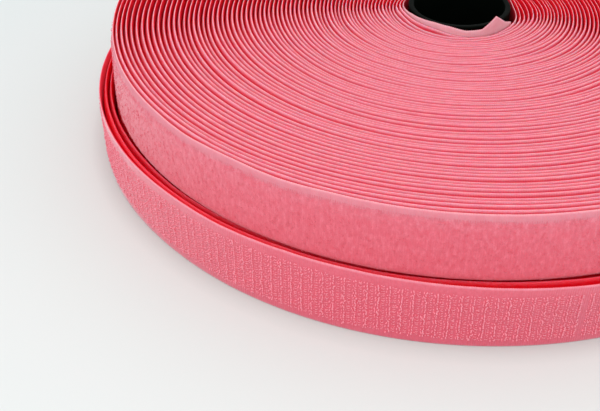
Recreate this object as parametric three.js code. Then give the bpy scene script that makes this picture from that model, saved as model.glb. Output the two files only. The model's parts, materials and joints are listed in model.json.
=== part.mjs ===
// Two rolls of sew-on hook and loop tape, stacked: a long band of hook tape below and one of loop tape
// on top of it, each wound on a short moulded core.
// Millimetres and degrees, +Z up. The origin is on the hook roll's axis, on the surface that the rolls
// lie on. Both bands wind outwards clockwise, seen from above.

import * as THREE from 'three';

// Tape: a woven band with plain selvedges, and between them a field of hooks or loops facing outwards.
const tape_width = 20;
const ground_thickness = 0.5;
const pile_height = 0.6;
const selvedge_width = 3;

// Winding: how much of each roll is modelled turn by turn, and how long its free tail is.
const outer_loops = 8;
const steps_per_loop = 24;
const tail_length = 60;

// Clearance between two separate pieces that lie against each other.
const seat_clearance = 0.3;

// Hook roll: the wider one. Its outer turns have worked loose, so there is more air between them.
const hook_roll_radius = 113.7;
const hook_turn_gap = 0.7;
const hook_end_angle = 110;

// Loop roll: wound tighter, and laid a little off the hook roll's axis.
const loop_roll_radius = 109.5;
const loop_turn_gap = 0.5;
const loop_end_angle = 60;
const loop_axis_x = 0.32;
const loop_axis_y = -2.61;

// Cores: moulded tubes as long as the tape is wide. The loop roll's has slipped upwards and aside.
const core_outer_radius = 15.8;
const core_wall = 1.9;
const core_length = 20;
const core_draft = 0.2;
const core_rim_radius = 0.4;
const core_segments = 48;
const core_rim_steps = 2;
const loop_core_slip = 1.5;
const loop_core_aside = -0.45;

// The loop tape's free inner turn: it starts at a cut end and stands out of the face in front of the core.
const inner_turn_gap = 1.1;
const inner_end_angle = 337;
const inner_turn_steps = 22;
const inner_turn_rise = 5.4;
const inner_turn_rise_shares = [0.1, 0.44, 1, 0.42, 0.4, 0.56, 0.62, 0.58, 0.53, 0.35, 0.14];

const tape_thickness = ground_thickness + pile_height;
const inner_turn_radius = core_outer_radius + inner_turn_gap;
const loop_roll_base = tape_width + seat_clearance;

const tape_materials = {
  hook: new THREE.MeshStandardMaterial({ color: 0xea6f84, roughness: 0.75, metalness: 0 }),
  loop: new THREE.MeshStandardMaterial({ color: 0xe8788b, roughness: 0.95, metalness: 0 }),
};
const core_material = new THREE.MeshStandardMaterial({ color: 0x1c211e, roughness: 0.5, metalness: 0 });

// The tape's section: distance out from its back, and height. The pile slopes down into each selvedge.
const tape_section = [
  [0, 0],
  [ground_thickness, 0],
  [tape_thickness, selvedge_width],
  [tape_thickness, tape_width - selvedge_width],
  [ground_thickness, tape_width],
  [0, tape_width],
];

function direction(angle) {
  const radians = THREE.MathUtils.degToRad(angle);
  return new THREE.Vector2(Math.cos(radians), Math.sin(radians));
}

// One closed band that follows its stations, each with a place of its back, its way out and its rise.
function bandGeometry(stations) {
  const corners = tape_section.length;
  const positions = [];
  for (const { back, out, rise } of stations) {
    for (const [distance, height] of tape_section) {
      positions.push(back.x + out.x * distance, back.y + out.y * distance, height + rise);
    }
  }
  const faces = [];
  for (let station = 0; station + 1 < stations.length; station += 1) {
    for (let corner = 0; corner < corners; corner += 1) {
      const here = station * corners + corner;
      const beside = station * corners + ((corner + 1) % corners);
      faces.push(here, beside, beside + corners, here, beside + corners, here + corners);
    }
  }
  const last = (stations.length - 1) * corners;
  for (let corner = 1; corner + 1 < corners; corner += 1) {
    faces.push(0, corner + 1, corner, last, last + corner, last + corner + 1);
  }
  const geometry = new THREE.BufferGeometry();
  geometry.setAttribute('position', new THREE.Float32BufferAttribute(positions, 3));
  geometry.setIndex(faces);
  geometry.computeVertexNormals();
  return geometry;
}

// A roll's path counts turns from where its winding ends: 0 there, -1 one turn further in, and above 0
// along the tail. It gives the place of the tape's back, seen from the roll's axis, and the way out.
function spiralPath(rollRadius, turnGap, endAngle) {
  return (turn) => {
    const out = direction(endAngle - turn * 360);
    const radius = rollRadius - tape_thickness + turn * (tape_thickness + turnGap);
    return { back: out.clone().multiplyScalar(radius), out, rise: 0 };
  };
}

function stationsAlong(path, fromTurn, toTurn) {
  const turns = [fromTurn];
  const firstStep = Math.floor(fromTurn * steps_per_loop) + 1;
  for (let step = firstStep; step < toTurn * steps_per_loop; step += 1) {
    turns.push(step / steps_per_loop);
  }
  turns.push(toTurn);
  return turns.map(path);
}

// The least air between a band and its own next turn, from points of its pile and flats of its back.
function leastGap(stations) {
  const segment = new THREE.Line3();
  const nearest = new THREE.Vector3();
  const flat = ({ back, out }, distance) => {
    return new THREE.Vector3(back.x + out.x * distance, back.y + out.y * distance, 0);
  };
  const pile = [];
  stations.forEach((station, index) => {
    pile.push([index, flat(station, tape_thickness)]);
    if (index > 0) {
      const before = flat(stations[index - 1], tape_thickness);
      pile.push([index, before.lerp(flat(station, tape_thickness), 0.5)]);
    }
  });
  let least = Infinity;
  for (const [index, point] of pile) {
    for (let other = index + steps_per_loop / 2; other + 1 < stations.length; other += 1) {
      segment.set(flat(stations[other], 0), flat(stations[other + 1], 0));
      segment.closestPointToPoint(point, true, nearest);
      least = Math.min(least, nearest.distanceTo(point));
    }
  }
  return least;
}

// The plain body of a roll's inner turns. Its outline is the outer face of its own last turn, so it ends
// in a step as high as the tape, where the first modelled turn carries on.
function packGeometry(path, boreRadius) {
  const outline = [];
  for (let step = 0; step < steps_per_loop + 1; step += 1) {
    const { back, out } = path(-outer_loops - step / steps_per_loop);
    outline.push(back.add(out.clone().multiplyScalar(tape_thickness)));
  }
  const shape = new THREE.Shape(outline);
  shape.holes.push(new THREE.Path().absarc(0, 0, boreRadius, 0, Math.PI * 2, true));
  return new THREE.ExtrudeGeometry(shape, {
    depth: tape_width,
    bevelEnabled: false,
    curveSegments: core_segments / 2,
  });
}

// A moulded tube: its bore narrows from both mouths to the middle, and its rims are rounded.
function coreGeometry() {
  const bore = core_outer_radius - core_wall;
  const rim = core_rim_radius;
  const outside = core_outer_radius - rim;
  const inside = bore + core_draft + rim;
  const top = core_length - rim;
  const profile = new THREE.Path();
  profile.moveTo(bore, core_length / 2);
  profile.lineTo(inside - rim, rim);
  profile.absarc(inside, rim, rim, Math.PI, Math.PI * 1.5, false);
  profile.absarc(outside, rim, rim, Math.PI * 1.5, Math.PI * 2, false);
  profile.absarc(outside, top, rim, 0, Math.PI / 2, false);
  profile.absarc(inside, top, rim, Math.PI / 2, Math.PI, false);
  profile.lineTo(bore, core_length / 2);
  const tube = new THREE.LatheGeometry(profile.getPoints(core_rim_steps), core_segments);
  return tube.rotateX(Math.PI / 2);
}

// The free inner turn runs clockwise from its cut end, its edge standing out where the shares say.
function innerTurnStations() {
  const stations = [];
  for (let step = 0; step < inner_turn_steps + 1; step += 1) {
    const out = direction(inner_end_angle - (step * 360) / steps_per_loop);
    const rise = inner_turn_rise * (inner_turn_rise_shares[step] ?? 0);
    stations.push({ back: out.clone().multiplyScalar(inner_turn_radius), out, rise });
  }
  return stations;
}

function addPiece(roll, name, geometry, material, aside = 0, height = 0) {
  const piece = new THREE.Mesh(geometry, material);
  piece.name = name;
  piece.position.set(aside, 0, height);
  roll.add(piece);
}

// A roll's tape in three pieces: inner turns, outer turns and the tail that peels off.
function addTape(roll, name, path, material, boreRadius, radius) {
  const seatTurn = seat_clearance / (2 * Math.PI * radius);
  const tailTurn = tail_length / (2 * Math.PI * radius);
  const turns = stationsAlong(path, seatTurn - outer_loops, 0);
  const tail = stationsAlong(path, seatTurn, seatTurn + tailTurn);
  addPiece(roll, `${name}_tape_inner_pack`, packGeometry(path, boreRadius), material);
  addPiece(roll, `${name}_tape_outer_turns`, bandGeometry(turns), material);
  addPiece(roll, `${name}_tape_tail`, bandGeometry(tail), material);
  const gap = leastGap([...turns, ...tail]);
  console.log(`${name} tape: least gap between its outer turns and tail ${gap.toFixed(3)} mm`);
}

const hookPath = spiralPath(hook_roll_radius, hook_turn_gap, hook_end_angle);
const hookBore = core_outer_radius + seat_clearance;
const hookRoll = new THREE.Group();
addPiece(hookRoll, 'hook_core', coreGeometry(), core_material);
addTape(hookRoll, 'hook', hookPath, tape_materials.hook, hookBore, hook_roll_radius);

const loopPath = spiralPath(loop_roll_radius, loop_turn_gap, loop_end_angle);
const loopBore = inner_turn_radius + tape_thickness + seat_clearance;
const loopRoll = new THREE.Group();
loopRoll.position.set(loop_axis_x, loop_axis_y, loop_roll_base);
addPiece(loopRoll, 'loop_core', coreGeometry(), core_material, loop_core_aside, loop_core_slip);
addTape(loopRoll, 'loop', loopPath, tape_materials.loop, loopBore, loop_roll_radius);
addPiece(loopRoll, 'loop_tape_inner_turn', bandGeometry(innerTurnStations()), tape_materials.loop);

const rolls = new THREE.Group();
rolls.add(hookRoll, loopRoll);

export default rolls;
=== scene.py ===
# %% [markdown]
# # Two rolls of hook and loop tape
#
# The object is a pair of tape rolls, one lying on the other. Each roll is a single woven band about 25 m
# long, wound on a short moulded core: the hook tape below, the loop tape on top. The imported model gives
# every size and place, so it is loaded first.

# %% Load the imported model
import json
import math
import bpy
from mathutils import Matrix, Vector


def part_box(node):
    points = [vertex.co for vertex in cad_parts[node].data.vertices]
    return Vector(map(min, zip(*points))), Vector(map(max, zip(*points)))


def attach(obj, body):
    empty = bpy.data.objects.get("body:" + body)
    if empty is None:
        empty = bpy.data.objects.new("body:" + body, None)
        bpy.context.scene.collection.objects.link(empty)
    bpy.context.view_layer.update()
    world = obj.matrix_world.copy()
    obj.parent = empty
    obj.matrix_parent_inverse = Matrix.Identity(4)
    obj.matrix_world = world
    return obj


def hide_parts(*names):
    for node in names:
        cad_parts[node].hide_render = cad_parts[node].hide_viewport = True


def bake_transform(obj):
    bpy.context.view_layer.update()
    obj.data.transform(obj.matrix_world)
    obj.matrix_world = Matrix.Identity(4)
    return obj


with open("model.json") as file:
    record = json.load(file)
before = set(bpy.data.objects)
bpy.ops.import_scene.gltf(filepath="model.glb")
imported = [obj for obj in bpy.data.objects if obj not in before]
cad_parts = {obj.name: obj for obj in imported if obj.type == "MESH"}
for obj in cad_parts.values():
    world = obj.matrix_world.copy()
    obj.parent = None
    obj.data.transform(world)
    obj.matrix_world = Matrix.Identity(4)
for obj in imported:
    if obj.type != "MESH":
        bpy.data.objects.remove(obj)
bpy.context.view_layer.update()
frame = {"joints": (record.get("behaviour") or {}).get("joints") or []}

from types import SimpleNamespace

import bmesh
import bpy
import numpy as np
from mathutils import Matrix, Vector

mm = 0.001
joints = {joint["name"]: joint for joint in frame["joints"]}

# %% [markdown]
# ## The camera
#
# The photograph is taken from in front and above, near enough for strong perspective. A camera could be
# placed by eye, but the rolls' round outlines fix it exactly, so its place, its three angles and its lens
# are written as they were solved.

# %% Set the camera
camera_place = Vector((0.32, -318.32, 191.95)) * mm
camera_yaw, camera_pitch, camera_roll = (math.radians(angle) for angle in (-9.159, 36.145, -0.160))
camera_lens, camera_sensor = 65.566, 36.0
camera_near, camera_far = 0.01, 20


def aim_camera():
    forward = Vector(
        (
            math.sin(camera_yaw) * math.cos(camera_pitch),
            math.cos(camera_yaw) * math.cos(camera_pitch),
            -math.sin(camera_pitch),
        )
    )
    level = Vector((math.cos(camera_yaw), -math.sin(camera_yaw), 0))
    tilt = Matrix.Rotation(-camera_roll, 3, forward)
    right = tilt @ level
    up = right.cross(forward)
    turned = Matrix((right, up, -forward)).transposed().to_4x4()
    data = bpy.data.cameras.new("camera")
    data.lens, data.sensor_width = camera_lens, camera_sensor
    data.clip_start, data.clip_end = camera_near, camera_far
    camera = bpy.data.objects.new("camera", data)
    camera.matrix_world = Matrix.Translation(camera_place) @ turned
    bpy.context.scene.collection.objects.link(camera)
    return camera


bpy.context.scene.camera = aim_camera()
bpy.context.scene.view_settings.view_transform = "Standard"
print("camera height, mm:", round(camera_place.z / mm, 1))

# %% [markdown]
# ## Helpers for materials
#
# Every finish here is a small network of shader nodes. Written out one by one they would fill the script,
# so a few short helpers add a node, set its sockets and hand back its output.


# %% Add nodes in one line
def feed(tree, socket, value):
    if isinstance(value, bpy.types.NodeSocket):
        tree.links.new(value, socket)
    else:
        socket.default_value = value


def set_sockets(node, settings):
    for label, value in settings.items():
        node.inputs[label].default_value = value


def calculate(tree, operation, *values):
    node = tree.nodes.new("ShaderNodeMath")
    node.operation = operation
    for socket, value in zip(node.inputs, values):
        feed(tree, socket, value)
    return node.outputs[0]


def between(tree, value, low, high, to_low=0.0, to_high=1.0):
    node = tree.nodes.new("ShaderNodeMapRange")
    for socket, number in zip(node.inputs, (value, low, high, to_low, to_high)):
        feed(tree, socket, number)
    return node.outputs[0]


def blend_colours(tree, share, first, second, way="MIX"):
    node = tree.nodes.new("ShaderNodeMix")
    node.data_type, node.blend_type = "RGBA", way
    for index, value in ((0, share), (6, first), (7, second)):
        feed(tree, node.inputs[index], value)
    return node.outputs[2]


def ramp(tree, value, stops):
    """A colour ramp, from stops of a place from 0 to 1 and a colour, in order of place."""
    node = tree.nodes.new("ShaderNodeValToRGB")
    feed(tree, node.inputs[0], value)
    elements = node.color_ramp.elements
    for index, (place, tone) in enumerate(stops):
        element = elements[index] if index < 2 else elements.new(1.0)
        element.position, element.color = place, tone
    return node.outputs[0]


def axes_of(tree, vector):
    node = tree.nodes.new("ShaderNodeSeparateXYZ")
    feed(tree, node.inputs[0], vector)
    return node.outputs


def add_relief(tree, surface, height, strength, distance):
    node = tree.nodes.new("ShaderNodeBump")
    set_sockets(node, {"Strength": strength, "Distance": distance})
    feed(tree, node.inputs["Height"], height)
    feed(tree, surface.inputs["Normal"], node.outputs["Normal"])


def noise(tree, vector, size, detail=2.0, roughness=0.5):
    node = tree.nodes.new("ShaderNodeTexNoise")
    feed(tree, node.inputs["Vector"], vector)
    set_sockets(node, {"Scale": 1 / size, "Detail": detail, "Roughness": roughness})
    return node.outputs["Fac"]


def colour(red, green, blue):
    """A colour written as it looks on screen, from 0 to 255, as Blender's own linear numbers."""
    linear = []
    for value in (red / 255, green / 255, blue / 255):
        linear.append(value / 12.92 if value < 0.04045 else ((value + 0.055) / 1.055) ** 2.4)
    return (*linear, 1.0)


def new_material(name):
    material = bpy.data.materials.new(name)
    material.use_nodes = True
    return material, material.node_tree, material.node_tree.nodes["Principled BSDF"]


print("white in linear numbers:", colour(255, 255, 255))

# %% [markdown]
# ## Floor and light
#
# The rolls lie on a white table in a light tent: the light comes evenly from all round, and a little more
# from above, so the only shadow is a soft one where the rolls meet the floor. A pale world and one broad
# lamp overhead give that. Together they light a flat white card to about white. A painted shadow deepens
# the soft one: where the tent's light is blocked, in a ring close round the rolls, the table's colour is
# darker and a little cool. The table is also a little greyer towards its far corner.
# Light may bounce off twelve matt surfaces in a row, because the red at the bottom of the narrow gaps
# between turns is partly light that has crossed the gap many times; the rest is painted shade in the
# tape's colour.

# %% Lay the floor and hang the lamp
bounces = 12
floor_size, floor_drop = 3.0, 0.05 * mm
floor_white = colour(224, 228, 226)
floor_far = colour(216, 222, 221)
fade_length = 0.35
# Painted contact shadow: the table's colour darkens towards the rolls, from the far radius in to the near
# one, in these tones.
painted_shadow_start, painted_shadow_end = 112 * mm, 160 * mm
painted_shadow_tones = [(0, (0.8, 0.89, 0.87, 1)), (0.15, (0.955, 1, 0.985, 1)), (1, (1, 1, 1, 1))]
tent_colour, tent_strength = (0.97, 0.985, 1.0, 1.0), 0.92
lamp_place, lamp_size, lamp_watts = (-0.1, -0.45, 1.05), 1.0, 4.8


def floor_finish():
    material, tree, surface = new_material("white_table")
    place = tree.nodes.new("ShaderNodeTexCoord").outputs["Object"]
    axes = axes_of(tree, place)
    away = calculate(tree, "SUBTRACT", axes["Y"], axes["X"])
    table = blend_colours(tree, between(tree, away, 0.0, fade_length), floor_white, floor_far)
    length = tree.nodes.new("ShaderNodeVectorMath")
    length.operation = "LENGTH"
    feed(tree, length.inputs[0], place)
    # painted shadow, multiplied into the table's colour
    shade = ramp(tree, between(tree, length.outputs["Value"], painted_shadow_start, painted_shadow_end), painted_shadow_tones)
    feed(tree, surface.inputs["Base Color"], blend_colours(tree, 1.0, table, shade, "MULTIPLY"))
    set_sockets(surface, {"Roughness": 0.8, "Specular IOR Level": 0.2})
    return material


def lay_floor(material):
    bm = bmesh.new()
    bmesh.ops.create_grid(bm, x_segments=2, y_segments=2, size=floor_size)
    bmesh.ops.translate(bm, verts=bm.verts, vec=(0, 0, -floor_drop))
    mesh = bpy.data.meshes.new("floor")
    bm.to_mesh(mesh)
    bm.free()
    mesh.materials.append(material)
    floor = bpy.data.objects.new("floor", mesh)
    bpy.context.scene.collection.objects.link(floor)


def hang_lamp(name, place, size, watts):
    data = bpy.data.lights.new(name, "AREA")
    data.shape, data.size, data.energy = "SQUARE", size, watts
    lamp = bpy.data.objects.new(name, data)
    lamp.location = place
    lamp.rotation_mode = "QUATERNION"
    lamp.rotation_quaternion = Vector(place).to_track_quat("Z", "Y")
    bpy.context.scene.collection.objects.link(lamp)


def light_world(tint, strength):
    world = bpy.data.worlds.new("light_tent")
    world.use_nodes = True
    tree = world.node_tree
    background = tree.nodes["Background"]
    path = tree.nodes.new("ShaderNodeLightPath")
    seen = between(tree, path.outputs["Is Camera Ray"], 0.0, 1.0, strength, 1.0)
    background.inputs["Color"].default_value = tint
    feed(tree, background.inputs["Strength"], seen)
    bpy.context.scene.world = world


bpy.context.scene.cycles.diffuse_bounces = bounces
lay_floor(floor_finish())
light_world(tent_colour, tent_strength)
hang_lamp("softbox", lamp_place, lamp_size, lamp_watts)
print("lamp, W:", lamp_watts, "and floor, m:", 2 * floor_size)

# %% [markdown]
# ## The path of the winding
#
# Wound tape follows a spiral: each turn lies one tape thickness, and a little air, outside the last one.
# Turns are counted from where the winding ends: 0 there, negative inwards, positive along the free tail.
# The eight outer turns are evenly spaced. Further in the tape was wound tighter, so the pitch shrinks and
# the pile is pressed flatter. The hook roll's outer turns have worked loose, so their pitch is larger.

# %% Spiral paths of the two rolls
tape_width = 20 * mm
ground = 0.5 * mm
pile = 0.6 * mm
even_turns = 8

hook_roll = SimpleNamespace(
    name="hook",
    axis=joints["hook_roll_turn"]["pos_m"][:2],
    base=0.0,
    end_angle=110,
    end_radius=112.6 * mm,
    core_radius=16.1 * mm,
    rim_pitch=1.8 * mm,
    turns=62.0,
    bulges=(),
    sprung=(200, 32, 1.2 * mm),
    seed=21,
)
loop_roll = SimpleNamespace(
    name="loop",
    axis=joints["loop_roll_turn"]["pos_m"][:2],
    base=20.3 * mm,
    end_angle=60,
    end_radius=108.4 * mm,
    core_radius=16.9 * mm,
    rim_pitch=1.6 * mm,
    turns=67 + 277 / 360,
    bulges=((265, 75, 1.5 * mm), (5, 40, -1.8 * mm)),
    sprung=(203, 35, -0.25 * mm),
    seed=34,
)


def tighten(roll):
    """How much the pitch shrinks for each turn inwards, so that the inmost turn meets the core."""
    turns_inside = roll.turns - even_turns
    room = roll.end_radius - even_turns * roll.rim_pitch - roll.core_radius
    return 2 * (turns_inside * roll.rim_pitch - room) / turns_inside**2


def pitch_at(roll, turn):
    return roll.rim_pitch - tighten(roll) * np.maximum(-even_turns - turn, 0)


def radius_at(roll, turn):
    inwards = np.maximum(-even_turns - turn, 0)
    return roll.end_radius + roll.rim_pitch * turn + tighten(roll) * inwards**2 / 2


for roll in (hook_roll, loop_roll):
    print(roll.name, "pitch at the core, mm:", round(float(pitch_at(roll, -roll.turns)) / mm, 2))

# %% [markdown]
# ## A hand-wound roll is never even
#
# The turns bunch and spread, and their edges stand a little higher or lower than their neighbours. That is
# what draws the uneven light lines on the roll's face. The wobble is a sum of a few slow waves round the
# roll, each drifting a little from one turn to the next. Too much drift and two turns would touch. The
# outer turn has none of it, and it grows over the next three. In front of the core the turns also lie in
# pairs. The loop roll's inmost turns bulge out in front of the core and lie closer to it on the right. At
# the left the hook roll's outer turns have sprung outwards and the loop roll's lie a little in. Each
# bulge, and what has sprung, is an angle, a reach and a distance.

# %% Wobble of the turns
wave_count = 8
bunching, bunching_lobes, bunching_drift = 0.42 * mm, 6, 0.3
edge_wobble, edge_lobes, edge_drift = 0.35 * mm, 5, 2.2
growing_turns = 3
pairing, pairing_angle, pairing_reach = 0.2 * mm, 270, 65
bulge_turns = 6
sprung_turns = 4.5
table_step, table_end = 1 / 720, 0.12


def waves(seed, turn, angle, most_lobes, drift):
    """A smooth wobble, mostly between -1 and 1, that runs round the roll and changes from turn to turn."""
    chance = np.random.default_rng(seed)
    total = np.zeros_like(turn)
    for _ in range(wave_count):
        lobes = chance.integers(1, most_lobes + 1)
        change = chance.normal(0, drift)
        total += np.cos(lobes * angle + change * turn + chance.uniform(0, math.tau))
    return total * 2 / wave_count


def smooth_step(value):
    value = np.clip(value, 0, 1)
    return value * value * (3 - 2 * value)


def angle_at(roll, turn):
    return roll.end_angle - 360 * turn


def near(angle, centre, reach):
    """1 at this angle, falling smoothly to 0 at this many degrees to either side."""
    return smooth_step(1 - np.abs((angle - centre + 180) % 360 - 180) / reach)


def distance_at(roll, turn):
    """How far the tape's back lies from the roll's axis, with its wobble."""
    angle = angle_at(roll, turn)
    bunched = bunching * waves(roll.seed, turn, np.radians(angle), bunching_lobes, bunching_drift)
    paired = pairing * near(angle, pairing_angle, pairing_reach) * np.cos(math.pi * turn)
    wobble = smooth_step((-1 - turn) / growing_turns) * (bunched + paired)
    inmost = np.clip(1 - (turn + roll.turns) / bulge_turns, 0, 1)
    bulged = sum(far * near(angle, centre, reach) for centre, reach, far in roll.bulges) * inmost
    centre, reach, far = roll.sprung
    outmost = np.clip(1 + turn / sprung_turns, 0, 1)
    return radius_at(roll, turn) + wobble + bulged + far * near(angle, centre, reach) * outmost


def back_at(roll, turn):
    """The middle of the tape's back, and the way out, at each turn number."""
    angle = np.radians(angle_at(roll, turn))
    out = np.stack([np.cos(angle), np.sin(angle)], axis=1)
    return out * distance_at(roll, turn)[:, None] + np.array(roll.axis), out


def measure_length(roll):
    """A table of turn number against metres of tape from the winding's end."""
    turn = np.arange(-roll.turns, table_end, table_step)
    back, _ = back_at(roll, turn)
    along = np.concatenate([[0], np.cumsum(np.linalg.norm(np.diff(back, axis=0), axis=1))])
    roll.turn_table = turn
    roll.length_table = along - np.interp(0, turn, along)
    print(roll.name, "tape wound, m:", round(-roll.length_table[0], 2))


def metres_at(roll, turn):
    return float(np.interp(turn, roll.turn_table, roll.length_table))


def between_turns(roll, first, last):
    return metres_at(roll, first), metres_at(roll, last)


measure_length(hook_roll)
measure_length(loop_roll)

# %% [markdown]
# ## Flat tape first, then wind it
#
# Real tape is woven flat and wound afterwards, and the model is made the same way. A straight length lies
# along X, its back on the XZ plane and its pile towards +Y. One step of it is pushed out of the tape's
# section and repeated. Winding then moves each point to its place on the spiral. The flat place is kept in
# the attribute "flat", so that weave and pile follow the tape and not the room.

# %% Weave a straight length
weld_distance = 0.01 * mm


def finish_piece(name, bm):
    mesh = bpy.data.meshes.new(name)
    bm.to_mesh(mesh)
    bm.free()
    piece = bpy.data.objects.new(name, mesh)
    bpy.context.scene.collection.objects.link(piece)
    return piece


def points_of(piece):
    count = len(piece.data.vertices)
    flat = np.empty(count * 3, np.float32)
    piece.data.vertices.foreach_get("co", flat)
    return flat.reshape(-1, 3).astype(float)


def move_points(piece, places):
    piece.data.vertices.foreach_set("co", places.astype(np.float32).ravel())
    piece.data.update()


def closed_ring(bm, corners):
    ring = [bm.verts.new(corner) for corner in corners]
    return ring, [bm.edges.new(pair) for pair in zip(ring, ring[1:] + ring[:1])]


def only(kind, parts):
    return [part for part in parts if isinstance(part, kind)]


def one_step(name, section):
    """An open sleeve with this section, 1 m long."""
    bm = bmesh.new()
    _, edges = closed_ring(bm, [(0, out, up) for out, up in section])
    pushed = bmesh.ops.extrude_edge_only(bm, edges=edges)["geom"]
    bmesh.ops.translate(bm, vec=(1, 0, 0), verts=only(bmesh.types.BMVert, pushed))
    return finish_piece(name, bm)


def repeat_steps(piece, count):
    """The sleeve repeated end to end, with its open ends closed."""
    repeat = piece.modifiers.new("repeat", "ARRAY")
    repeat.count = count
    repeat.use_relative_offset, repeat.use_constant_offset = False, True
    repeat.constant_offset_displace = (1, 0, 0)
    repeat.use_merge_vertices, repeat.merge_threshold = True, weld_distance
    evaluated = piece.evaluated_get(bpy.context.evaluated_depsgraph_get())
    woven = bpy.data.meshes.new_from_object(evaluated)
    piece.modifiers.clear()
    bm = bmesh.new()
    bm.from_mesh(woven)
    bmesh.ops.holes_fill(bm, edges=[edge for edge in bm.edges if edge.is_boundary], sides=0)
    bmesh.ops.recalc_face_normals(bm, faces=bm.faces)
    bm.to_mesh(woven)
    bm.free()
    piece.data = woven


def weave(name, section, start, end, step):
    """A closed straight band with this section, from start to end in metres along the tape."""
    piece = one_step(name, section)
    count = max(1, round((end - start) / step))
    repeat_steps(piece, count)
    places = points_of(piece)
    places[:, 0] = start + np.round(places[:, 0]) * (end - start) / count
    move_points(piece, places)
    return piece


print("steps are welded within, mm:", weld_distance / mm)

# %% [markdown]
# ## Winding
#
# The length table turns metres of tape into a turn number, and the spiral turns that into a place. The
# pile is pressed flatter where the next turn lies close, and stands higher where there is room. The inmost
# loop turn has slid up beside the core and drawn the next two up with it, so each is lifted by an amount
# read off round the core. The top edges of the outer turns lean out or in by amounts read off round the
# front of each roll, the outermost first, and the loop roll's rim has two small dips. The loop roll lies on
# the hook roll's edges, so those can't stand up as far.

# %% Wind a flat piece onto its roll
lift_height = 5.4 * mm
lift_step = 15
lift_shares = {
    "hook": [],
    "loop": [
        [0, 0.36, 1, 0.42, 0.4, 0.56, 0.62, 0.58, 0.5, 0.3, 0.1, 0],
        [0, 0, 0, 0, 0.03, 0.15, 0.36, 0.38, 0.35, 0.22, 0.08, 0],
        [0, 0, 0, 0, 0, 0.05, 0.14, 0.16, 0.14, 0.08, 0, 0],
    ],
}
least_air = 0.08 * mm
least_pile, fullest_pile = 0.15, 1.7
lean = 1.6 * mm
lean_angles = [150, 190, 207, 220, 230, 240, 250, 260, 275, 290, 330]
lean_shares = {
    "hook": [
        [0, 0.4, 0.4, 0.5, 0.41, 0.44, 0.1, 0.12, 0.5, 1, 0],
        [0, 0.4, 0.44, 0.81, 0.78, 0.69, 0.3, 0.25, 0.19, 0.75, 0],
        [0, 0.65, 0.8, 0.78, 0.88, 0.62, 0.3, 0.25, 0.19, 0.5, 0],
        [0, 0.6, 0.75, 0.7, 0.78, 0.55, 0.27, 0.22, 0.17, 0.45, 0],
        [0, 0.5, 0.6, 0.55, 0.6, 0.42, 0.2, 0.16, 0.12, 0.33, 0],
    ],
    "loop": [[0, -0.2, -0.2, -0.2, -0.2, -0.2, -0.2, -0.2, -0.2, -0.2, 0]],
}
highest_rise = {"hook": 0.12 * mm, "loop": math.inf}
dip_depth, dip_reach = 0.45 * mm, 8
dip_angles = {"hook": [], "loop": [231, 248]}


def pressed_at(roll, turn):
    """How high the pile stands, as a share of its full height."""
    spacing = distance_at(roll, turn + 1) - distance_at(roll, turn)
    room = np.where(turn < -1, (spacing - ground - least_air) / pile, 1)
    return np.clip(room, least_pile, fullest_pile)


def rise_at(roll, turn):
    """How much higher than its place the tape's top edge stands."""
    angle = angle_at(roll, turn)
    rise = edge_wobble * waves(roll.seed + 1, turn, np.radians(angle), edge_lobes, edge_drift)
    rise = np.minimum(rise, highest_rise[roll.name])
    for dip_angle in dip_angles[roll.name]:
        rise -= np.where(turn > -1, dip_depth * near(angle, dip_angle, dip_reach), 0)
    return rise


def lift_at(roll, turn):
    """How far the tape has slid up beside the core."""
    total = np.zeros_like(turn)
    for outwards, shares in enumerate(lift_shares[roll.name]):
        degrees = (turn + roll.turns - outwards) * 360
        total += np.interp(degrees, np.arange(len(shares)) * lift_step, shares, left=0, right=0)
    return lift_height * total


def lean_at(roll, turn):
    """How much further out than its foot the tape's top edge stands."""
    angle = angle_at(roll, turn) % 360
    total = np.zeros_like(turn)
    for inwards, shares in enumerate(lean_shares[roll.name]):
        there = (turn >= -inwards - 1) & (turn < -inwards)
        total += np.where(there, lean * np.interp(angle, lean_angles, shares), 0)
    return total


def smooth_between_edges(piece, degrees):
    """Shade the piece smooth, apart from edges sharper than this angle."""
    piece.data.polygons.foreach_set("use_smooth", np.ones(len(piece.data.polygons), bool))
    piece.data.set_sharp_from_angle(angle=math.radians(degrees))


def wind(piece, roll):
    """Move a flat piece onto its roll, and keep its flat place."""
    flat = points_of(piece)
    kept = piece.data.attributes.new("flat", "FLOAT_VECTOR", "POINT")
    kept.data.foreach_set("vector", flat.astype(np.float32).ravel())
    turn = np.interp(flat[:, 0], roll.length_table, roll.turn_table)
    back, out = back_at(roll, turn)
    share_of_width = flat[:, 2] / tape_width
    distance = np.minimum(flat[:, 1], ground) + np.maximum(flat[:, 1] - ground, 0) * pressed_at(roll, turn)
    distance += lean_at(roll, turn) * share_of_width**2
    height = flat[:, 2] + rise_at(roll, turn) * share_of_width + lift_at(roll, turn)
    places = np.column_stack([back + out * distance[:, None], roll.base + height])
    move_points(piece, places)
    smooth_between_edges(piece, 50)
    return piece


rise_table = rise_at(loop_roll, loop_roll.turn_table) / mm
low_rise, high_rise = round(float(rise_table.min()), 2), round(float(rise_table.max()), 2)
print("loop roll's edges stand, mm:", low_rise, "to", high_rise, "from their place")

# %% [markdown]
# ## The tape's two sections
#
# Both tapes are a thin woven ground with a plain selvedge along each edge, and hooks or pile between. The
# turns inside a roll show only their edges, so ten corners are enough for them: a small crown below, the
# slopes of the pile, and above it a thin edge with a bevel to catch the light. The outer turn shows its
# whole face, so its section has more points, and its steps are short enough for every thread of the
# selvedge to be real relief.

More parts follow.
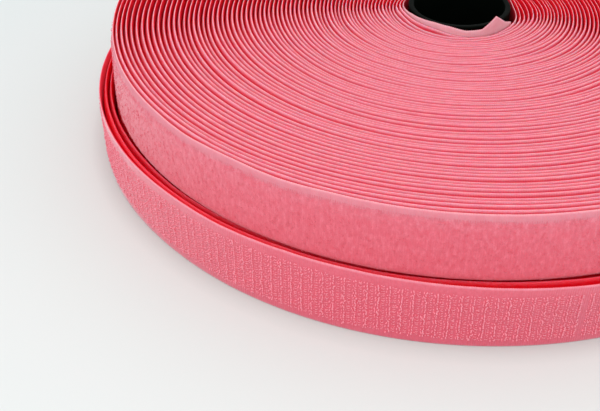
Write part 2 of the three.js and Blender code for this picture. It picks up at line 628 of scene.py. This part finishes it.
# %% Sections
edge_crown = 0.06 * mm
edge_inset, edge_depth = 0.12 * mm, 0.4 * mm
fluff_start, fluff_full = 1.4 * mm, 3.2 * mm
inner_section = [
    (0, 0),
    (ground / 2, -edge_crown),
    (ground, 0),
    (ground + pile, fluff_full),
    (ground + pile, tape_width - fluff_full),
    (ground + 0.5 * pile, tape_width - fluff_start),
    (ground, tape_width - edge_inset),
    (ground - edge_inset, tape_width),
    (edge_inset, tape_width),
    (0, tape_width - edge_depth),
]
face_rows = [0.25, 0.9, 1.8, 2.7, 5, 8, 12, 15, 17.3, 18.2, 19.1, 19.75]
back_bevel, face_bevel, face_crown = 0.1 * mm, 0.12 * mm, 0.02 * mm
face_section = [
    (0, back_bevel),
    (face_bevel, -face_crown),
    (ground - face_bevel, -face_crown),
    *((ground, row * mm) for row in face_rows),
    (ground - face_bevel, tape_width + face_crown),
    (face_bevel, tape_width + face_crown),
    (0, tape_width - back_bevel),
]
print("corners of the inner and outer sections:", len(inner_section), len(face_section))

# %% [markdown]
# ## Relief of the threads
#
# The weft threads cross the tape about 0.6 mm apart and stand up as fine ribs in the selvedge. Random
# patches, which are a lattice of random numbers with smooth steps between, keep the ribs from being even.

# %% Ribs and patches
lattice = (509, 61)
surface_from = ground - 0.01 * mm
rib_spacing, rib_height = 0.6 * mm, 0.045 * mm
rib_slip, slip_patch = 0.1 * mm, 2 * mm
rib_strength, strength_spread, strength_patch = 0.7, 0.5, 1.5 * mm
edge_band, edge_patch = 0.3 * mm, 3 * mm


def patches(seed, along, across, size):
    """Smooth random patches from -1 to 1, each about this size."""
    table = np.random.default_rng(seed).uniform(-1, 1, lattice)
    column, row = np.floor(along / size).astype(int), np.floor(across / size).astype(int)
    right, up = smooth_step(along / size - column), smooth_step(across / size - row)

    def corner(shift, rise):
        return table[(column + shift) % lattice[0], (row + rise) % lattice[1]]

    lower = corner(0, 0) * (1 - right) + corner(1, 0) * right
    upper = corner(0, 1) * (1 - right) + corner(1, 1) * right
    return lower * (1 - up) + upper * up


def raise_ribs(piece, seed):
    """Weft ribs on the outer face and along the upper edge, slipping and changing in strength."""
    flat = points_of(piece)
    along, out, up = flat.T
    slip = rib_slip * patches(seed, along, up, slip_patch)
    rib = np.cos(math.tau * (along + slip) / rib_spacing)
    strength = rib_strength + strength_spread * patches(seed + 1, along, up, strength_patch)
    flat[:, 1] += np.where(out > surface_from, rib_height * strength * rib, 0)
    edge = np.where(up > tape_width - edge_band, 1, 0)
    flat[:, 2] += edge * rib_height * (rib + patches(seed + 2, along, up, edge_patch))
    move_points(piece, flat)


print("weft ribs in a metre of tape:", round(1 / rib_spacing))

# %% [markdown]
# ## A shared weave
#
# Close up, the ground is a plain weave: weft ribs crossed by finer warp threads that wander a little. Both
# tapes need it, so it is a node group that reads the flat place of the tape and gives the weave's height
# and a mask of its holes, which the finishes darken as painted shade. A second group gives the broad and
# fine mottle of the dye.

# %% Node groups: weave and mottle
float_socket, vector_socket = "NodeSocketFloat", "NodeSocketVector"
yarn_wander, wander_patch = 0.25 * mm, 1.5 * mm
weft_lift, warp_lift, hole_top = 1.3, 0.7, 0.35
fine_size, fine_share = 0.13, 0.4
mottle_low, mottle_high = 0.32, 0.68


def new_group(name, inputs, outputs):
    tree = bpy.data.node_groups.new(name, "ShaderNodeTree")
    for label, kind in inputs:
        tree.interface.new_socket(label, in_out="INPUT", socket_type=kind)
    for label, kind in outputs:
        tree.interface.new_socket(label, in_out="OUTPUT", socket_type=kind)
    return tree, tree.nodes.new("NodeGroupInput").outputs, tree.nodes.new("NodeGroupOutput").inputs


def build_weave():
    tree, given, result = new_group(
        "plain_weave",
        [("Flat", vector_socket), ("Weft spacing", float_socket), ("Warp spacing", float_socket)],
        [("Height", float_socket), ("Holes", float_socket)],
    )
    axes = axes_of(tree, given["Flat"])
    wander = calculate(tree, "MULTIPLY", noise(tree, given["Flat"], wander_patch), yarn_wander)

    def count_threads(axis, spacing):
        return calculate(tree, "DIVIDE", calculate(tree, "ADD", axes[axis], wander), given[spacing])

    weft, warp = count_threads("X", "Weft spacing"), count_threads("Z", "Warp spacing")
    every_other = calculate(tree, "MULTIPLY", calculate(tree, "FLOOR", weft), 0.5)
    weft_wave = calculate(tree, "PINGPONG", weft, 0.5)
    warp_wave = calculate(tree, "PINGPONG", calculate(tree, "ADD", warp, every_other), 0.5)
    ribs = calculate(tree, "MULTIPLY", weft_wave, weft_lift)
    height = calculate(tree, "MULTIPLY_ADD", warp_wave, warp_lift, ribs)
    feed(tree, result["Height"], height)
    feed(tree, result["Holes"], between(tree, height, hole_top, 0.0))
    return tree


def build_mottle():
    tree, given, result = new_group(
        "yarn_mottle",
        [("Flat", vector_socket), ("Patch", float_socket), ("Tall", float_socket)],
        [("Mottle", float_socket)],
    )
    axes = axes_of(tree, given["Flat"])
    squeezed = tree.nodes.new("ShaderNodeCombineXYZ")
    feed(tree, squeezed.inputs["X"], axes["X"])
    feed(tree, squeezed.inputs["Y"], axes["Y"])
    feed(tree, squeezed.inputs["Z"], calculate(tree, "DIVIDE", axes["Z"], given["Tall"]))
    scaled = tree.nodes.new("ShaderNodeVectorMath")
    scaled.operation = "SCALE"
    feed(tree, scaled.inputs[0], squeezed.outputs[0])
    feed(tree, scaled.inputs["Scale"], calculate(tree, "DIVIDE", 1.0, given["Patch"]))
    broad = noise(tree, scaled.outputs[0], 1.0, 3.0, 0.6)
    fine = noise(tree, scaled.outputs[0], fine_size, 2.0, 0.6)
    broad_part = calculate(tree, "MULTIPLY", broad, 1 - fine_share)
    mixed = calculate(tree, "MULTIPLY_ADD", fine, fine_share, broad_part)
    feed(tree, result["Mottle"], between(tree, mixed, mottle_low, mottle_high))
    return tree


weave_group = build_weave()
mottle_group = build_mottle()
print("shared effects:", weave_group.name, mottle_group.name)

# %% [markdown]
# ## Nylon finishes
#
# All of the tape is one rose-red nylon. It lets light through, so light sinks into the edges and comes out
# a deeper red between the turns, where it has crossed more of the dye. Subsurface scattering gives part of
# that glow, and the rest is painted light and shade: each finish is a colour ramp across the tape's width,
# with the edges that catch the light from above a pale painted highlight, and the tape down between the
# turns a deep red painted shade. A mottle of deeper dye lies over it, and the weave's holes are darkened
# the same way as painted shade. The back has a colour of its own, a painted shade for the narrow gaps where
# it is seen, and it reaches a little way round the edge. The soft sheen of fine threads is kept to the
# outer side. Height from the weave feeds a Bump node, because the threads are far finer than the mesh.
# Colours are written as they look on screen, and lengths in millimetres.

# %% Tape materials
# Painted light and shade across the tape: a pale painted highlight for lit edges, a half-lit red below it,
# and bright red.
painted_edge_highlight, painted_half_light_red, bright_red = (244, 171, 185), (234, 106, 126), (244, 62, 80)
# Painted shade reds: for the tape between the turns, for the backs, and for the loose turns lit through the
# nylon.
painted_shade_red, painted_back_shade, painted_through_light_red = (228, 16, 34), (206, 22, 36), (222, 20, 38)
rose, pile_rose, pale_hook = (242, 108, 126), (245, 115, 133), (255, 162, 179)
deeper_dye_and_shade_tint = (0.86, 0.58, 0.63, 1.0)
# how strongly the weave's holes are darkened, as painted shade
hole_shade = 0.5
warp_spacing = 0.42 * mm
back_depth, thread_relief = 0.2 * mm, 0.06 * mm
nylon = {
    "Roughness": 0.6,
    "Sheen Roughness": 0.5,
    "Sheen Tint": (1.0, 0.8, 0.84, 1.0),
    "Subsurface Radius": (1.6, 0.16, 0.24),
    "Subsurface Scale": mm,
}


def place_group(tree, group, **values):
    node = tree.nodes.new("ShaderNodeGroup")
    node.node_tree = group
    for label, value in values.items():
        feed(tree, node.inputs[label.replace("_", " ")], value)
    return node.outputs


def across_width(tree, up, stops):
    """A colour that changes across the tape, from stops of a height above its lower edge and a colour."""
    places = [(height * mm / tape_width, colour(*tone)) for height, tone in stops]
    return ramp(tree, calculate(tree, "DIVIDE", up, tape_width), places)


def tape_finish(
    name,
    stops,
    patch,
    *,
    back=painted_back_shade,
    back_to=0.3,
    depth=1.0,
    bump=0.7,
    sheen=0.1,
    shine=0.2,
    glow=0.2,
    tall=1.0,
):
    """Nylon: colours across the width and on the back, which carry painted highlight and shade, and patches
    of deeper dye of this size and depth.
    """
    material, tree, surface = new_material(name)
    attribute = tree.nodes.new("ShaderNodeAttribute")
    attribute.attribute_name = "flat"
    flat = attribute.outputs["Vector"]
    axes = axes_of(tree, flat)
    woven = place_group(tree, weave_group, Flat=flat, Weft_spacing=rib_spacing, Warp_spacing=warp_spacing)
    mottle = place_group(tree, mottle_group, Flat=flat, Patch=patch * mm, Tall=tall)["Mottle"]
    # The back's colour, a painted shade, reaches this far onto the face.
    on_face = between(tree, axes["Y"], back_depth, back_to * mm)
    yarn = blend_colours(tree, on_face, colour(*back), across_width(tree, axes["Z"], stops))
    deeper_dye_and_shade = blend_colours(tree, 1.0, yarn, deeper_dye_and_shade_tint, "MULTIPLY")
    mottled = calculate(tree, "MULTIPLY", calculate(tree, "SUBTRACT", 1.0, mottle), depth)
    # Painted shade: the weave's holes are darkened with the same tint as the deeper dye.
    shade = calculate(tree, "MAXIMUM", mottled, calculate(tree, "MULTIPLY", woven["Holes"], hole_shade))
    feed(tree, surface.inputs["Base Color"], blend_colours(tree, shade, yarn, deeper_dye_and_shade))
    feed(tree, surface.inputs["Sheen Weight"], calculate(tree, "MULTIPLY", on_face, sheen))
    set_sockets(surface, nylon)
    set_sockets(surface, {"Specular IOR Level": shine, "Subsurface Weight": glow})
    add_relief(tree, surface, woven["Height"], bump, thread_relief)
    return material


# The wound turns: a pale painted highlight on both edges, then through bright red to a deep red painted
# shade between the turns.
wound_finish = tape_finish(
    "wound_turns",
    [
        (0.1, painted_edge_highlight),
        (1, bright_red),
        (18, painted_shade_red),
        (18.8, bright_red),
        (19.3, painted_half_light_red),
        (19.75, painted_edge_highlight),
    ],
    4,
    back_to=0.38,
    depth=0.6,
    sheen=0.0,
    shine=0.05,
    glow=1.0,
)
# Loose turns: painted light, red up to the edges, for light that crosses the nylon into the shaded gaps, a
# little paler at the top edge.
loose_finish = tape_finish(
    "loose_turns",
    [(0.1, painted_edge_highlight), (1, bright_red), (2, painted_through_light_red), (19, painted_through_light_red), (19.9, (240, 78, 94))],
    4,
    back=painted_through_light_red,
    depth=0.5,
    sheen=0.0,
    shine=0.05,
    glow=1.0,
)
# Hook tape: a pale painted highlight on the top edge, and a brighter red back, painted light for the shaded
# gap behind the outer turn.
hook_ground_finish = tape_finish(
    "hook_ground",
    [(0, (236, 94, 119)), (19.2, (238, 102, 125)), (19.9, (255, 160, 175))],
    0.8,
    back=(255, 90, 112),
    depth=0.9,
    sheen=1.0,
)
# Loop tape: paler over the top selvedge, with a painted highlight on the top edge itself; its back is the
# painted back shade.
loop_ground_finish = tape_finish(
    "loop_ground",
    [(0, rose), (15, rose), (17.6, (238, 140, 155)), (19.5, (240, 150, 164)), (20, (255, 178, 189))],
    2,
    depth=0.5,
)
# Raised inmost turn: deep red painted shade at its foot beside the core, a pale painted highlight where it
# stands up into the light, and a darker painted shade on its back.
free_turn_finish = tape_finish(
    "free_inner_turn",
    [(0, painted_shade_red), (12, rose), (14.5, (243, 180, 193)), (20, (247, 194, 204))],
    1.5,
    back=(170, 18, 34),
    depth=0.5,
)
pile_finish = tape_finish(
    "brushed_pile",
    [(2, pile_rose), (14, (249, 127, 145)), (18, (246, 144, 159))],
    1.0,
    back=pile_rose,
    depth=1.7,
    bump=0.5,
    sheen=0.55,
    tall=2.2,
)
hook_finish = tape_finish(
    "hook_filament",
    [(0, pale_hook), (20, pale_hook)],
    1.0,
    depth=0.6,
    bump=0.0,
    sheen=0.7,
    shine=0.1,
    glow=0.0,
)
print("materials, with the packed model's own:", len(bpy.data.materials))

# %% [markdown]
# ## The wound turns
#
# Each roll's inner turns are one band of about 24 m. It is woven straight in steps of 3.2 mm and wound in
# one go. It stands for the imported model's plain inner pack, and for its outer turns up to the last one.
# The hook roll's four outer turns have worked loose. The outermost is a piece of its own. The other three
# are lit through the nylon from both sides, and that light is painted into their colour, red up to their
# edges.

# %% Wind the inner turns
inner_step = 3.2 * mm
loose_turns = 4


def dress(piece, body, finish, replaced=()):
    """Give a piece its finish, and say what it rides on, what it is made of and what it replaces."""
    piece.data.materials.append(finish)
    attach(piece, body)
    if replaced:
        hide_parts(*replaced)
    triangles = sum(len(face.vertices) - 2 for face in piece.data.polygons)
    print(f"{piece.name}: {triangles} triangles")


def redden_outer_turns(piece, roll):
    """Give the faces of the loose turns their own finish, painted red with the light that crosses the
    nylon.
    """
    piece.data.materials.append(loose_finish)
    flat = np.empty(len(piece.data.vertices) * 3, np.float32)
    piece.data.attributes["flat"].data.foreach_get("vector", flat)
    first_corner = [face.vertices[0] for face in piece.data.polygons]
    loose = flat[0::3][first_corner] > metres_at(roll, -loose_turns)
    piece.data.polygons.foreach_set("material_index", loose.astype(np.int32))
    print(f"{piece.name}: {int(loose.sum())} faces on its loose turns")


hook_inner = between_turns(hook_roll, -hook_roll.turns, -1)
hook_turns = weave("hook_wound_turns", inner_section, *hook_inner, inner_step)
wind(hook_turns, hook_roll)
dress(hook_turns, "hook_winding", wound_finish, ["hook_tape_inner_pack"])
redden_outer_turns(hook_turns, hook_roll)

loop_inner = between_turns(loop_roll, 1 - loop_roll.turns, -1)
loop_turns = weave("loop_wound_turns", inner_section, *loop_inner, inner_step)
wind(loop_turns, loop_roll)
dress(loop_turns, "loop_winding", wound_finish, ["loop_tape_inner_pack"])

# %% [markdown]
# ## The turns that show their face
#
# The outer turn of each roll, the free tail after it and the loop tape's raised inmost turn are woven in
# steps of 0.15 mm, fine enough for real ribs.

# %% Wind the outer turns and the raised inner turn
face_step = 0.15 * mm
tail_length = 60 * mm


def face_length(name, roll, start, end, seed):
    piece = weave(name, face_section, start, end, face_step)
    raise_ribs(piece, seed)
    return wind(piece, roll)


hook_face = face_length("hook_outer_turn", hook_roll, metres_at(hook_roll, -1), 0, 3)
dress(hook_face, "hook_winding", hook_ground_finish, ["hook_tape_outer_turns"])
loop_face = face_length("loop_outer_turn", loop_roll, metres_at(loop_roll, -1), 0, 4)
dress(loop_face, "loop_winding", loop_ground_finish, ["loop_tape_outer_turns"])
inmost = between_turns(loop_roll, -loop_roll.turns, 1 - loop_roll.turns)
inner_face = face_length("loop_inner_turn", loop_roll, *inmost, 5)
dress(inner_face, "loop_winding", free_turn_finish, ["loop_tape_inner_turn"])

# %% [markdown]
# ## Copying a small shape by the thousand
#
# Hooks and pile loops are far too many to make one by one. One is modelled, and copies are set on the flat
# tape before it is wound. Each copy is a few dozen faces.


# %% Set copies of one shape on flat tape
def stamp(name, pattern, places, headings, sizes):
    """One mesh of many copies of a pattern, each turned about its own way out (Y) and scaled."""
    count = len(places)
    shape = np.array([vertex.co for vertex in pattern.verts])
    faces = np.array([[vertex.index for vertex in face.verts] for face in pattern.faces])
    cosine, sine = np.cos(headings)[:, None], np.sin(headings)[:, None]
    along = shape[:, 0] * cosine + shape[:, 2] * sine
    up = shape[:, 2] * cosine - shape[:, 0] * sine
    out = np.broadcast_to(shape[:, 1], along.shape)
    copies = np.stack([along, out, up], axis=2) * sizes[:, None, None] + places[:, None, :]
    corners = faces[None] + np.arange(count)[:, None, None] * len(shape)
    mesh = bpy.data.meshes.new(name)
    mesh.vertices.add(count * len(shape))
    mesh.vertices.foreach_set("co", copies.astype(np.float32).ravel())
    mesh.loops.add(corners.size)
    mesh.loops.foreach_set("vertex_index", corners.astype(np.int32).ravel())
    mesh.polygons.add(count * len(faces))
    mesh.polygons.foreach_set("loop_start", np.arange(0, corners.size, faces.shape[1], dtype=np.int32))
    mesh.update(calc_edges=True)
    piece = bpy.data.objects.new(name, mesh)
    bpy.context.scene.collection.objects.link(piece)
    return piece


# %% [markdown]
# ## Hooks
#
# The hooks are stiff nylon filament, woven up out of the ground as loops and cut open on one side, so each
# hook has a short stub beside it. They stand in columns across the tape, 1.46 mm apart. In every other
# column they bend along the column and read as a light line, and in the columns between they bend along
# the tape and read as dots.


# %% Bend one hook and set the columns
def bend_filament(radius, stem, reach, sweep, steps):
    """A three-sided filament of this radius: a straight stem, then an arc about a point this far aside."""
    bm = bmesh.new()
    ring = bmesh.ops.create_circle(bm, cap_ends=True, radius=radius, segments=3)["verts"]
    bmesh.ops.rotate(bm, verts=ring, cent=(0, 0, 0), matrix=Matrix.Rotation(math.pi / 2, 3, "X"))
    pushed = bmesh.ops.extrude_face_region(bm, geom=list(bm.faces), use_keep_orig=True)["geom"]
    bmesh.ops.translate(bm, verts=only(bmesh.types.BMVert, pushed), vec=(0, stem, 0))
    tip = only(bmesh.types.BMFace, pushed)
    bmesh.ops.spin(
        bm,
        geom=tip + list(tip[0].edges) + list(tip[0].verts),
        cent=(0, stem, reach),
        axis=(1, 0, 0),
        angle=math.radians(sweep),
        steps=steps,
    )
    bmesh.ops.triangulate(bm, faces=bm.faces)
    bmesh.ops.recalc_face_normals(bm, faces=bm.faces)
    bm.verts.index_update()
    return bm


filament = 0.15 * mm
hook_column, hook_row = 1.46 * mm, 0.8 * mm
field_low, field_high = 2.2 * mm, 17.3 * mm
root_depth, dot_size = 0.05 * mm, 0.75
column_slip, row_slip = 0.06 * mm, 0.08 * mm
heading_slip, size_slip = 0.3, 0.12
stub_slip_along, stub_slip_up = 0.12 * mm, 0.2 * mm
hook = bend_filament(radius=filament, stem=0.12 * mm, reach=0.3 * mm, sweep=150, steps=4)
stub = bend_filament(radius=filament, stem=0.1 * mm, reach=0.5 * mm, sweep=40, steps=1)
print("faces of one hook and one stub:", len(hook.faces), len(stub.faces))
print("hook reaches, mm:", [round(max(v.co[axis] for v in hook.verts) / mm, 2) for axis in range(3)])


def set_hooks(name, start, end, seed):
    """Hooks and their stubs from start to end, each a little out of its place, heading and size."""
    chance = np.random.default_rng(seed)
    columns = np.arange(math.ceil(start / hook_column), math.floor(end / hook_column))
    rows = np.arange(field_low, field_high, hook_row)
    column, row = (grid.ravel() for grid in np.meshgrid(columns, rows, indexing="ij"))
    across = column % 2 == 0
    places = np.column_stack(
        [
            column * hook_column + chance.normal(0, column_slip, column.size),
            np.full(column.size, ground - root_depth),
            row + np.where(across, 0, hook_row / 2) + chance.normal(0, row_slip, column.size),
        ]
    )
    headings = np.where(across, 0, math.pi / 2) + chance.normal(0, heading_slip, column.size)
    sizes = np.where(across, 1, dot_size) * chance.normal(1, size_slip, column.size)
    hooks = wind(stamp(name, hook, places, headings, sizes), hook_roll)
    places[:, 0] += hook_column / 2 + chance.normal(0, stub_slip_along, column.size)
    places[:, 2] += chance.normal(0, stub_slip_up, column.size)
    stubs = wind(stamp(name + "_stubs", stub, places, headings + math.pi, sizes), hook_roll)
    return hooks, stubs


def shares_of(start, count):
    """This many equal lengths, from start metres to the winding's end at 0."""
    return [(start * (1 - number / count), start * (1 - (number + 1) / count)) for number in range(count)]


for number, (start, end) in enumerate(shares_of(metres_at(hook_roll, -1), 2), 1):
    for hooks in set_hooks(f"hook_outer_turn_hooks_{number}", start, end, 5 + number):
        dress(hooks, "hook_winding", hook_finish)

# %% [markdown]
# ## Pile
#
# The loop tape's pile is a brushed tangle of fine threads. A closed, lumpy mat gives it its body and its
# soft sides, frayed along the upper one and steeper along the lower one. Thousands of small open arches
# stand in the mat and give the fuzz that catches the light.

# %% Lay the mat and its loops
mat_low, mat_high = 0.3 * mm, 18.1 * mm
mat_foot, mat_step = ground - 0.2 * mm, 0.5 * mm
mat_rows = np.linspace(mat_low, mat_high, 27)
mat_section = [(mat_foot, mat_low), *((ground, up) for up in mat_rows), (mat_foot, mat_high)]
mat_height, mat_lumps = 0.75, [(0.08, 2.2 * mm), (0.14, 0.8 * mm)]
side_slope, lower_steepness = 1.5 * mm, 2
fray_depth, fray_patch = 0.5 * mm, 1.2 * mm
loops_per_mm2 = 1.5
loop_foot, loop_margin = ground + 0.12 * mm, 0.3 * mm
least_loop, fullest_loop = 0.6, 1.2
thread = bend_filament(radius=0.05 * mm, stem=0.15 * mm, reach=0.32 * mm, sweep=180, steps=4)


def raise_pile(piece, seed):
    """Lift the mat's face into lumps that slope down to both sides."""
    flat = points_of(piece)
    along, out, up = flat.T
    frayed = fray_depth * (1 + patches(seed + 2, along, up, fray_patch))
    inset = np.minimum(lower_steepness * (up - mat_low), mat_high - up - frayed)
    body = smooth_step(inset / side_slope)
    lumps = sum(share * patches(seed + k, along, up, size) for k, (share, size) in enumerate(mat_lumps))
    flat[:, 1] += np.where(out > surface_from, (mat_height + lumps) * body * pile, 0)
    move_points(piece, flat)


def lay_mat(name, roll, start, end, seed):
    mat = weave(name, mat_section, start, end, mat_step)
    raise_pile(mat, seed)
    return wind(mat, roll)


def set_loops(name, roll, start, end, seed):
    """Loops of every heading, set at random over the mat from start to end."""
    chance = np.random.default_rng(seed)
    count = round((end - start) * (mat_high - mat_low) / mm**2 * loops_per_mm2)
    places = np.column_stack(
        [
            chance.uniform(start, end, count),
            np.full(count, loop_foot),
            chance.uniform(mat_low + loop_margin, mat_high - loop_margin, count),
        ]
    )
    headings = chance.uniform(0, math.tau, count)
    sizes = chance.uniform(least_loop, fullest_loop, count)
    return wind(stamp(name, thread, places, headings, sizes), roll)


loop_start = metres_at(loop_roll, -1)
mat = lay_mat("loop_outer_turn_pile", loop_roll, loop_start, 0, 7)
dress(mat, "loop_winding", pile_finish)
for number, (start, end) in enumerate(shares_of(loop_start, 4), 1):
    loops = set_loops(f"loop_outer_turn_loops_{number}", loop_roll, start, end, 9 + number)
    dress(loops, "loop_winding", pile_finish)

# %% [markdown]
# ## The free tails
#
# The last 60 mm of each tape is the end that is peeled off, so it is a piece of its own.

# %% Weave the tails
bend_length = 12 * mm


def free_tail(piece, roll, finish, replaced=()):
    """Give a piece of the tail its finish, bake its place into its mesh, and hide what it replaces."""
    bend_end = np.array([metres_at(roll, 0) + bend_length])
    back, out = back_at(roll, np.interp(bend_end, roll.length_table, roll.turn_table))
    piece.data.materials.append(finish)
    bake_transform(piece)
    if replaced:
        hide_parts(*replaced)


hook_tail = face_length("hook_tail", hook_roll, 0, tail_length, 8)
free_tail(
    hook_tail, hook_roll, hook_ground_finish, ["hook_tape_tail"]
)
for tail_hooks in set_hooks("hook_tail_hooks", 0, tail_length, 9):
    free_tail(tail_hooks, hook_roll, hook_finish)

loop_tail = face_length("loop_tail", loop_roll, 0, tail_length, 14)
free_tail(
    loop_tail, loop_roll, loop_ground_finish, ["loop_tape_tail"]
)
tail_mat = lay_mat("loop_tail_pile", loop_roll, 0, tail_length, 15)
free_tail(tail_mat, loop_roll, pile_finish)
tail_loops = set_loops("loop_tail_loops", loop_roll, 0, tail_length, 16)
free_tail(tail_loops, loop_roll, pile_finish)

for pattern in (hook, stub, thread):
    pattern.free()
print("loops on the loop tape's tail:", round(tail_length * (mat_high - mat_low) / mm**2 * loops_per_mm2))

# %% [markdown]
# ## The cores
#
# A core is a short tube of black moulded plastic. Its section is drawn once, with rounded rims and a bore
# that narrows a little to the middle, and spun round the roll's axis. Spun steps are finer than the packed
# model's flats, so its rim shines as a clean ring. The plastic is near black, with a fine moulded grain and
# broad patches where it is a little worn.

# %% Spin the cores
core_outside, core_inside, core_length = 15.8 * mm, 13.9 * mm, 20 * mm
core_draft, core_rim = 0.2 * mm, 0.4 * mm
core_steps, core_weld = 128, 0.001 * mm
core_black, core_worn = colour(2, 5, 3), colour(7, 12, 8)
grain_size, wear_size, grain_relief = 0.35 * mm, 6 * mm, 0.03 * mm


def spin_core(name, axis, base):
    bm = bmesh.new()
    mouth = core_inside + core_draft
    corners = [
        (mouth, 0),
        (core_outside, 0),
        (core_outside, core_length),
        (mouth, core_length),
        (core_inside, core_length / 2),
    ]
    ring, _ = closed_ring(bm, [(axis[0] + radius, axis[1], base + up) for radius, up in corners])
    bmesh.ops.bevel(
        bm,
        geom=ring[:4],
        offset=core_rim,
        offset_type="OFFSET",
        affect="VERTICES",
        segments=4,
        profile=0.5,
        material=-1,
    )
    bmesh.ops.spin(
        bm,
        geom=list(bm.edges) + list(bm.verts),
        cent=(axis[0], axis[1], 0),
        axis=(0, 0, 1),
        angle=math.tau,
        steps=core_steps,
        use_merge=True,
    )
    bmesh.ops.remove_doubles(bm, verts=bm.verts, dist=core_weld)
    bmesh.ops.recalc_face_normals(bm, faces=bm.faces)
    core = finish_piece(name, bm)
    smooth_between_edges(core, 40)
    return core


def core_finish():
    material, tree, surface = new_material("black_moulded_plastic")
    place = tree.nodes.new("ShaderNodeTexCoord").outputs["Object"]
    grain = noise(tree, place, grain_size, 3.0, 0.6)
    worn = noise(tree, place, wear_size)
    feed(tree, surface.inputs["Base Color"], blend_colours(tree, worn, core_black, core_worn))
    feed(tree, surface.inputs["Roughness"], between(tree, grain, 0.3, 0.7, 0.4, 0.55))
    set_sockets(surface, {"Specular IOR Level": 0.02})
    add_relief(tree, surface, grain, 0.25, grain_relief)
    return material


black_plastic = core_finish()
for roll in (hook_roll, loop_roll):
    node = f"{roll.name}_core"
    corner, far_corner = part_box(node)
    core = spin_core(f"{roll.name}_moulded_core", (corner + far_corner) / 2, corner.z)
    dress(core, node, black_plastic, [node])

# %% [markdown]
# ## Update the scene
#

# %% Update the scene
bpy.context.view_layer.update()
